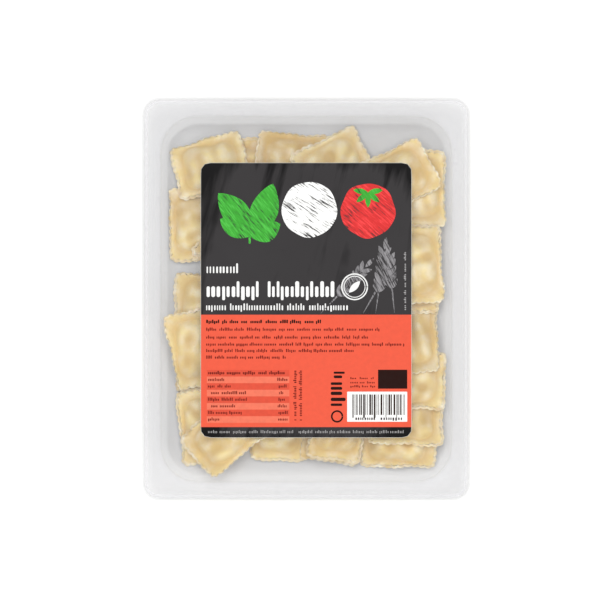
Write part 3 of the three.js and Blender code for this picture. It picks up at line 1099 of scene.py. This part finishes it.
# Motifs: leaves as heading, length and breadth, balls as across, down, radius and how uneven
SPRIG = (23.0, 34.5)
LEAVES = ((-150, 16.0, 10.5), (-22, 15.5, 10.0), (-126, 25.0, 12.5), (-66, 27.0, 13.0))
CHEESE = (51.0, 22.0, 13.0, 0.012)
TOMATO = (78.5, 22.5, 12.8, 0.02)
CALYX = (78.5, 14.0, 7.0, 2.6)
CALYX_HEADINGS = (-10, 40, 90, 140, 190)

# Ears of wheat as across, heading and pairs of grains, and the sizes that they share
EARS = ((56.0, -46, 6), (76.0, -60, 4), (82.0, -82, 6), (91.0, -96, 5))
EAR_FOOT = 71.0
STALK = 12.0
GRAIN = (5.4, 2.0)
GRAIN_STEP = 3.1
GRAIN_TURN = 34
TIP_GRAIN = (5.8, 2.0)

# Strokes for large print: from, to, base line, low and tall height, breadth and gap
TITLE = (
    (2.8, 18.6, 51.8, 3.1, 4.6, 0.75, 0.75),
    (2.8, 27.5, 63.0, 5.0, 7.4, 1.5, 0.8),
    (31.5, 62.6, 63.0, 5.0, 7.4, 1.5, 0.8),
    (2.6, 12.0, 69.2, 2.3, 3.2, 0.62, 0.62),
    (13.8, 38.7, 69.2, 2.3, 3.2, 0.62, 0.62),
    (40.6, 49.0, 69.2, 2.3, 3.2, 0.62, 0.62),
    (50.9, 69.2, 69.2, 2.3, 3.2, 0.62, 0.62),
)
AMOUNT = ((98.0, 101.2, 66.4, 4.0, 4.0, 1.2, 0.7), (103.0, 114.6, 66.4, 5.4, 5.4, 1.3, 1.0))
CODE_FEET = ((72.6, 82.6, 120.7, 1.2, 1.2, 0.6, 0.5), (84.4, 94.6, 120.7, 1.2, 1.2, 0.6, 0.5))

# Lines of small print: from, to and base line, and then height, breadth and gap where they
# are its own. The side line and the turned copy run up the label.
HEADING = (2.6, 58.4, 75.4, 1.3, 0.68, 0.2)
SIDE = (42.0, 70.4, 96.4, 0.8)
COPY = ((2.6, 84.0, 78.9), (2.6, 79.0, 82.6), (2.6, 96.0, 85.9), (2.6, 72.5, 88.9), (2.6, 40.6, 92.0))
TURNED_COPY = ((97.5, 121.5, 45.0), (97.5, 121.5, 47.6))
PANEL_COPY = ((70.2, 81.8, 101.6), (70.2, 81.8, 103.6), (70.2, 81.8, 105.4))
PANEL_HEIGHT = 0.8
FOOTER = ((3.5, 43.5, 126.9), (46.0, 95.5, 126.9))
FOOTER_SIZES = (1.05, 0.3, 0.42)

# Badge as across and down, its rings as radius and thickness, and its leaf
BADGE = (72.2, 58.2)
BADGE_RINGS = ((6.3, 0.6), (5.1, 0.35))
BADGE_LEAF = (69.6, 60.9, 7.4, 2.8, -46)

# Boxes as left, top, right and bottom, and the ring below the amount
DARK_PANEL = (83.2, 97.1, 96.9, 106.0)
CODE_BOX = (68.7, 107.4, 96.9, 121.5)
AMOUNT_RING = (64.0, 119.0, 2.9, 0.8)

# The code's lines: left, right, top and foot, their module, and how far the longer ones reach
CODE_LINES = (71.2, 95.6, 108.7, 118.3)
CODE_MODULE = 0.264
CODE_LONGER = 1.3

# The table: left, right and top edge and height of a row, its number of rows and which are
# indented and by how much, the gap at its sides and from a row's middle down to its base
# line, the sizes of the first row's print, and the lengths of the entries and figures
TABLE = (2.9, 41.6, 97.2, 3.1)
TABLE_ROWS = 8
INDENTED_ROWS = (3, 5)
INDENT = 1.4
TABLE_GAP = 0.6
TABLE_HEAD = (1.25, 0.66, 0.2)
ENTRY_LENGTHS = (7.0, 20.0)
FIGURE_LENGTHS = (4.5, 6.0)

# Words of small print and the spaces between them, how uneven a stroke may be, and the draws
# above which it is tall and below which it hangs
WORD_LENGTHS = (2.4, 8.0)
WORD_SPACE = 0.9
UNEVEN = (0.8, 1.25)
TALL_ABOVE = 0.72
HANGING_BELOW = 0.1


class Label:
    """The label's place in the pack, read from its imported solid."""

    def __init__(self):
        low, high = box_of("label")
        self.left = low[0]
        self.top = high[1]
        self.base = low[2]
        self.width = high[0] - low[0]
        self.length = high[1] - low[1]
        self.middle = (high + low)[:2] / 2

    def raised(self, outline, low, high):
        """A flat shape of ink, given from the label's left and top edges."""
        outline = np.asarray(outline, float)
        placed = np.column_stack([self.left + outline[:, 0], self.top - outline[:, 1]])
        ahead = np.roll(placed, -1, axis=0)
        area = np.sum(placed[:, 0] * ahead[:, 1] - ahead[:, 0] * placed[:, 1])
        ordered = placed if area > 0 else placed[::-1]
        return prism(ordered, self.base + low, self.base + high)


def bar(x0, y0, x1, y1, corner=0.4, steps=5):
    """Outline of a bar with round ends: four quarter arcs joined by straight sides."""
    corner = min(corner, 0.98 * (x1 - x0) / 2, 0.98 * (y1 - y0) / 2)
    return np.vstack(quarter_arcs(x1 - corner, x0 + corner, y1 - corner, y0 + corner, corner, steps))


def disc(x, y, radius, uneven):
    """Outline of a disc whose radius swells and shrinks by a share, five and eight times round."""
    angle = np.arange(ROUND_POINTS) / ROUND_POINTS * 2 * math.pi
    swell = np.sin(5 * angle) + 0.6 * np.sin(8 * angle + 1)
    return around(x, y, radius * (1 + uneven * swell), angle)


def blade(x, y, length, breadth, heading, lean=0.0):
    """Outline of a pointed leaf or grain: two arcs that meet at both ends."""
    along = np.linspace(0, 1, BLADE_POINTS)
    bulge = breadth / 2 * np.sin(math.pi * along) ** 0.8
    side = lean * length * np.sin(math.pi * along)
    there = np.column_stack([along * length, bulge + side])
    back = np.column_stack([along[::-1] * length, (side - bulge)[::-1]])
    outline = np.vstack([there, back[1:-1]])
    turn = math.radians(heading)
    rotate = np.array([[math.cos(turn), -math.sin(turn)], [math.sin(turn), math.cos(turn)]])
    return outline @ rotate.T + (x, y)


def ring_outline(x, y, radius, thickness):
    """Outline of an open ring, cut by a hair so that one outline goes round it."""
    angle = np.linspace(0.02, 2 * math.pi - 0.02, ROUND_POINTS)
    inner = around(x, y, radius - thickness, angle)
    return np.vstack([around(x, y, radius, angle), inner[::-1]])


def strokes(random, x0, x1, base, low, tall, breadth, gap, steps=5):
    """Upright strokes that stand for one word of print: most low, some tall, a few hanging.

    They stand on the line at base. Their breadths and gaps differ by up to a quarter.
    """
    made = []
    start = x0
    while start + breadth <= x1 + 0.01:
        wide = breadth * random.uniform(*UNEVEN)
        kind = random.random()
        upper = base - (tall if kind > TALL_ABOVE else low)
        lower = base + (0.3 * low if kind < HANGING_BELOW else 0.0)
        made.append(bar(start, upper, start + wide, lower, 0.45 * wide, steps))
        start += wide + gap * random.uniform(*UNEVEN)
    return made


def large_print(random, rows):
    """Strokes for several rows of large print."""
    return [stroke for row in rows for stroke in strokes(random, *row)]


def small_line(random, x0, x1, base, low=1.15, breadth=0.5, gap=0.27):
    """A line of small print: words of strokes with spaces between."""
    made = []
    start = x0
    while start < x1 - 1.0:
        end = min(x1, start + random.uniform(*WORD_LENGTHS))
        made += strokes(random, start, end, base, low, 1.45 * low, breadth, gap, 2)
        start = end + WORD_SPACE
    return made


def small_print(random, rows, *sizes):
    """Several lines of small print, all with the same height, breadth and gap."""
    return [stroke for row in rows for stroke in small_line(random, *row, *sizes)]


def turned(outlines):
    """Swaps across and along, for lines that run up the label."""
    return [outline[:, ::-1] for outline in outlines]


def label_piece(name, solid, material):
    """One flat-faced piece of the label from a pair of vertices and faces."""
    return new_piece(name, *solid, material, "label_paper", smooth=False)


def print_shapes(label, name, outlines, material, low=FIELD_TOP, high=PRINT_TOP, step=0.0):
    """One piece of ink from many outlines, each raised by step over the one before."""
    layers = [label.raised(outline, low, high + step * n) for n, outline in enumerate(outlines)]
    label_piece(name, gather(layers), material)


class RAVIOLIPACK_OT_label(Operator):
    """Cuts the label's paper and lays its two fields of colour"""

    bl_idname = "ravioli_pack.add_label"
    bl_label = "Label"

    def execute(self, context):
        look = context.scene.label_look
        label = Label()
        middle, base = label.middle, label.base
        sheet, _ = rounded_rectangle(label.width, label.length, LABEL_CORNER, LABEL_POINTS)
        paper = prism(sheet + middle, base, base + PAPER_TOP)
        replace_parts(label_piece("label_sheet", paper, ink_material("label_paper", look.paper)), "label")
        inner_width = label.width - 2 * PAPER_MARGIN
        inner_length = label.length - 2 * PAPER_MARGIN
        inner, _ = rounded_rectangle(inner_width, inner_length, LABEL_CORNER - PAPER_MARGIN, LABEL_POINTS)
        field = prism(inner + middle, base + PAPER_TOP, base + FIELD_TOP)
        charcoal = charcoal_material(look, label.width / 2, label.length / 2, middle[1])
        label_piece("label_charcoal_field", field, charcoal)
        coral = ink_material("label_coral", look.coral, 0.03)
        field = bar(PAPER_MARGIN, CORAL_FROM, label.width - PAPER_MARGIN, CORAL_TO, 0.02)
        print_shapes(label, "label_coral_field", [field], coral)
        return {"FINISHED"}


def leaf_sprig(x, y, leaves):
    """Leaves on a short stem, given by heading, length and breadth."""
    shapes = [blade(x, y, length, breadth, heading, lean=0.05) for heading, length, breadth in leaves]
    return [bar(x - 0.5, y - 2.0, x + 0.5, y + 3.5, 0.4), *shapes]


def wheat_ear(x, heading, grains):
    """An ear of wheat: a thin stalk, pairs of grains along it and one at the tip."""
    step = np.array([math.cos(math.radians(heading)), math.sin(math.radians(heading))])
    first = np.array([x, EAR_FOOT]) + STALK * step
    shapes = [blade(x, EAR_FOOT, STALK + GRAIN_STEP * grains, 0.8, heading)]
    for grain in range(grains):
        at = first + GRAIN_STEP * grain * step
        shapes += [blade(*at, *GRAIN, heading + turn) for turn in (-GRAIN_TURN, GRAIN_TURN)]
    return [*shapes, blade(*(first + GRAIN_STEP * grains * step), *TIP_GRAIN, heading)]


class RAVIOLIPACK_OT_motifs(Operator):
    """Chalks a sprig, a cheese ball and a tomato on the upper field, and wheat below them"""

    bl_idname = "ravioli_pack.add_motifs"
    bl_label = "Label motifs"

    def execute(self, context):
        look = context.scene.label_look
        label = Label()
        green, white, red, grey = (
            chalk_material(f"chalk_{name}", getattr(look, ink), look.charcoal, turn, bare)
            for name, ink, turn, bare in CHALKS
        )
        print_shapes(label, "label_motif_leaves", leaf_sprig(*SPRIG, LEAVES), green, step=INK_STEP)
        print_shapes(label, "label_motif_cheese", [disc(*CHEESE)], white)
        print_shapes(label, "label_motif_tomato", [disc(*TOMATO)], red)
        calyx = [blade(*CALYX, heading) for heading in CALYX_HEADINGS]
        print_shapes(label, "label_motif_calyx", calyx, green, PRINT_TOP, OVERPRINT_TOP, INK_STEP)
        wheat = [shape for ear in EARS for shape in wheat_ear(*ear)]
        print_shapes(label, "label_motif_wheat", wheat, grey, step=INK_STEP)
        return {"FINISHED"}


def table_print(random, left, right, top, row):
    """Pale stripes, deep stripes and strokes of a table. The first row's print is bolder."""
    stripes = [bar(left, top + n * row, right, top + (n + 1) * row, 0.02) for n in range(TABLE_ROWS)]
    bases = [top + (n + 0.5) * row + TABLE_GAP for n in range(TABLE_ROWS)]
    start = left + TABLE_GAP
    copy = small_line(random, start, right - 1.0, bases[0], *TABLE_HEAD)
    for number in range(1, TABLE_ROWS):
        inset = start + (INDENT if number in INDENTED_ROWS else 0.0)
        copy += small_line(random, inset, inset + random.uniform(*ENTRY_LENGTHS), bases[number])
        figures = right - random.uniform(*FIGURE_LENGTHS)
        copy += small_line(random, figures, right - TABLE_GAP, bases[number])
    return stripes[1::2], stripes[::2], copy


def code_lines(random, left, right, top, foot):
    """Upright lines of random breadth in whole modules, every fifth one a little longer."""
    lines = []
    start = left
    number = 0
    while start < right:
        end = start + CODE_MODULE * random.integers(1, 4)
        longer = CODE_LONGER if number % 10 == 0 else 0.0
        if number % 2 == 0:
            lines.append(bar(start, top, min(end, right), foot + longer, 0.01, 2))
        start = end
        number += 1
    return lines


class RAVIOLIPACK_OT_print(Operator):
    """Prints the strokes, table rows and code block of the label"""

    bl_idname = "ravioli_pack.add_print"
    bl_label = "Label print"

    def execute(self, context):
        look = context.scene.label_look
        label = Label()
        random = np.random.default_rng(11)
        chalk, silver, maroon, soot, light, dark = (
            ink_material(f"ink_{name}", getattr(look, name))
            for name in ("chalk", "silver", "maroon", "soot", "coral_light", "coral_dark")
        )
        print_shapes(label, "label_title_strokes", large_print(random, TITLE), chalk)
        badge = [ring_outline(*BADGE, *ring) for ring in BADGE_RINGS]
        badge.append(blade(*BADGE_LEAF))
        print_shapes(label, "label_badge_ring", badge, chalk, FIELD_TOP, LAST_TOP)
        side = turned(small_line(random, *SIDE))
        print_shapes(label, "label_side_strokes", side, silver, FIELD_TOP, LAST_TOP)

        heading = small_line(random, *HEADING)
        copy = small_print(random, COPY)
        copy += turned(small_print(random, TURNED_COPY))
        copy += small_print(random, PANEL_COPY, PANEL_HEIGHT)
        pale, deep, rows = table_print(random, *TABLE)
        print_shapes(label, "label_rows_pale", pale, light, PRINT_TOP, STRIPE_TOP)
        print_shapes(label, "label_rows_deep", deep, dark, PRINT_TOP, STRIPE_TOP)
        print_shapes(label, "label_copy_strokes", [*copy, *rows], maroon, PRINT_TOP, LAST_TOP)

        amount = turned(large_print(random, AMOUNT))
        amount += [ring_outline(*AMOUNT_RING), bar(*DARK_PANEL, 0.05)]
        print_shapes(label, "label_amount_marks", amount, soot, PRINT_TOP, OVERPRINT_TOP)
        print_shapes(label, "label_heading_strokes", heading, soot, PRINT_TOP, OVERPRINT_TOP)

        print_shapes(label, "label_code_box", [bar(*CODE_BOX, 0.3)], chalk, PRINT_TOP, STRIPE_TOP)
        lines = code_lines(random, *CODE_LINES)
        lines += large_print(random, CODE_FEET)
        print_shapes(label, "label_code_lines", lines, soot, STRIPE_TOP, LAST_TOP)

        footer = small_print(random, FOOTER, *FOOTER_SIZES)
        print_shapes(label, "label_footer_strokes", footer, silver)
        return {"FINISHED"}


# Stage, in metres

FLOOR_REACH = 3.0

# Just below the tray's base, so that the two faces don't coincide
FLOOR_LEVEL = -0.0002

# Lights: place and breadth. Both face the middle of the pack's base.
KEY_LIGHT = ((-0.05, 0.12, 1.4), 0.6)
FILL_LIGHT = ((0.15, -1.0, 1.2), 1.2)

# Width of the camera's sensor in millimetres
SENSOR = 36.0

# The point of the pack, across and along, that the camera looks down on
PICTURE_MIDDLE = (-0.0029, -0.0005)


def area_light(name, place, breadth, power):
    """A square soft light that faces the middle of the pack's base, in metres and watts."""
    lamp = bpy.data.lights.new(name, "AREA")
    lamp.shape = "SQUARE"
    lamp.size = breadth
    lamp.energy = power
    light = linked(name, lamp)
    light.location = place
    light.rotation_euler = (-Vector(place)).to_track_quat("-Z", "Y").to_euler()


class RAVIOLIPACK_OT_stage(Operator):
    """Sets the floor, the soft lights and the camera straight above the pack"""

    bl_idname = "ravioli_pack.set_stage"
    bl_label = "Stage"

    def execute(self, context):
        look = context.scene.stage_look
        mesh = bpy.data.meshes.new("stage_floor")
        corners = [(x * FLOOR_REACH, y * FLOOR_REACH) for x, y in ((-1, -1), (1, -1), (1, 1), (-1, 1))]
        mesh.from_pydata([(x, y, FLOOR_LEVEL) for x, y in corners], [], [(0, 1, 2, 3)])
        mesh.materials.append(floor_material(look))
        linked("stage_floor", mesh)

        area_light("key_light", *KEY_LIGHT, look.key)
        area_light("fill_light", *FILL_LIGHT, look.fill)

        world = bpy.data.worlds.new("stage_sky")
        world.use_nodes = True
        sky = world.node_tree.nodes["Background"]
        sky.inputs["Color"].default_value = (1.0, 1.0, 1.0, 1.0)
        sky.inputs["Strength"].default_value = look.sky
        context.scene.world = world
        context.scene.view_settings.view_transform = "Standard"

        lens = bpy.data.cameras.new("camera")
        lens.sensor_width = SENSOR
        lens.lens = SENSOR * look.camera_distance / look.view_width
        lens.clip_end = 20.0
        camera = linked("camera", lens)
        camera.location = (*PICTURE_MIDDLE, CAD_BOX[1][2] + look.camera_distance)
        context.scene.camera = camera
        return {"FINISHED"}


class RAVIOLIPACK_PT_panel(Panel):
    """The pack's pieces in the 3D view's sidebar"""

    bl_idname = "RAVIOLIPACK_PT_panel"
    bl_label = "Ravioli pack"
    bl_space_type = "VIEW_3D"
    bl_region_type = "UI"
    bl_category = "Ravioli"

    def draw(self, context):
        for operator in OPERATORS:
            self.layout.operator(operator.bl_idname)
        for name in SETTINGS:
            settings = getattr(context.scene, name)
            box = self.layout.box()
            for key in settings.__annotations__:
                box.prop(settings, key)


SETTINGS = {
    "ravioli_look": RavioliSettings,
    "tray_look": TraySettings,
    "label_look": LabelSettings,
    "stage_look": StageSettings,
}
OPERATORS = [
    RAVIOLIPACK_OT_stage,
    RAVIOLIPACK_OT_ravioli,
    RAVIOLIPACK_OT_tray,
    RAVIOLIPACK_OT_film,
    RAVIOLIPACK_OT_label,
    RAVIOLIPACK_OT_motifs,
    RAVIOLIPACK_OT_print,
]


def register():
    for made in (*SETTINGS.values(), *OPERATORS, RAVIOLIPACK_PT_panel):
        bpy.utils.register_class(made)
    for name, settings in SETTINGS.items():
        setattr(bpy.types.Scene, name, PointerProperty(type=settings))


def unregister():
    for name in SETTINGS:
        delattr(bpy.types.Scene, name)
    for made in (RAVIOLIPACK_PT_panel, *OPERATORS[::-1], *SETTINGS.values()):
        bpy.utils.unregister_class(made)


def main():
    register()
    for operator in OPERATORS:
        group, name = operator.bl_idname.split(".")
        getattr(getattr(bpy.ops, group), name)()


if __name__ == "__main__":
    main()
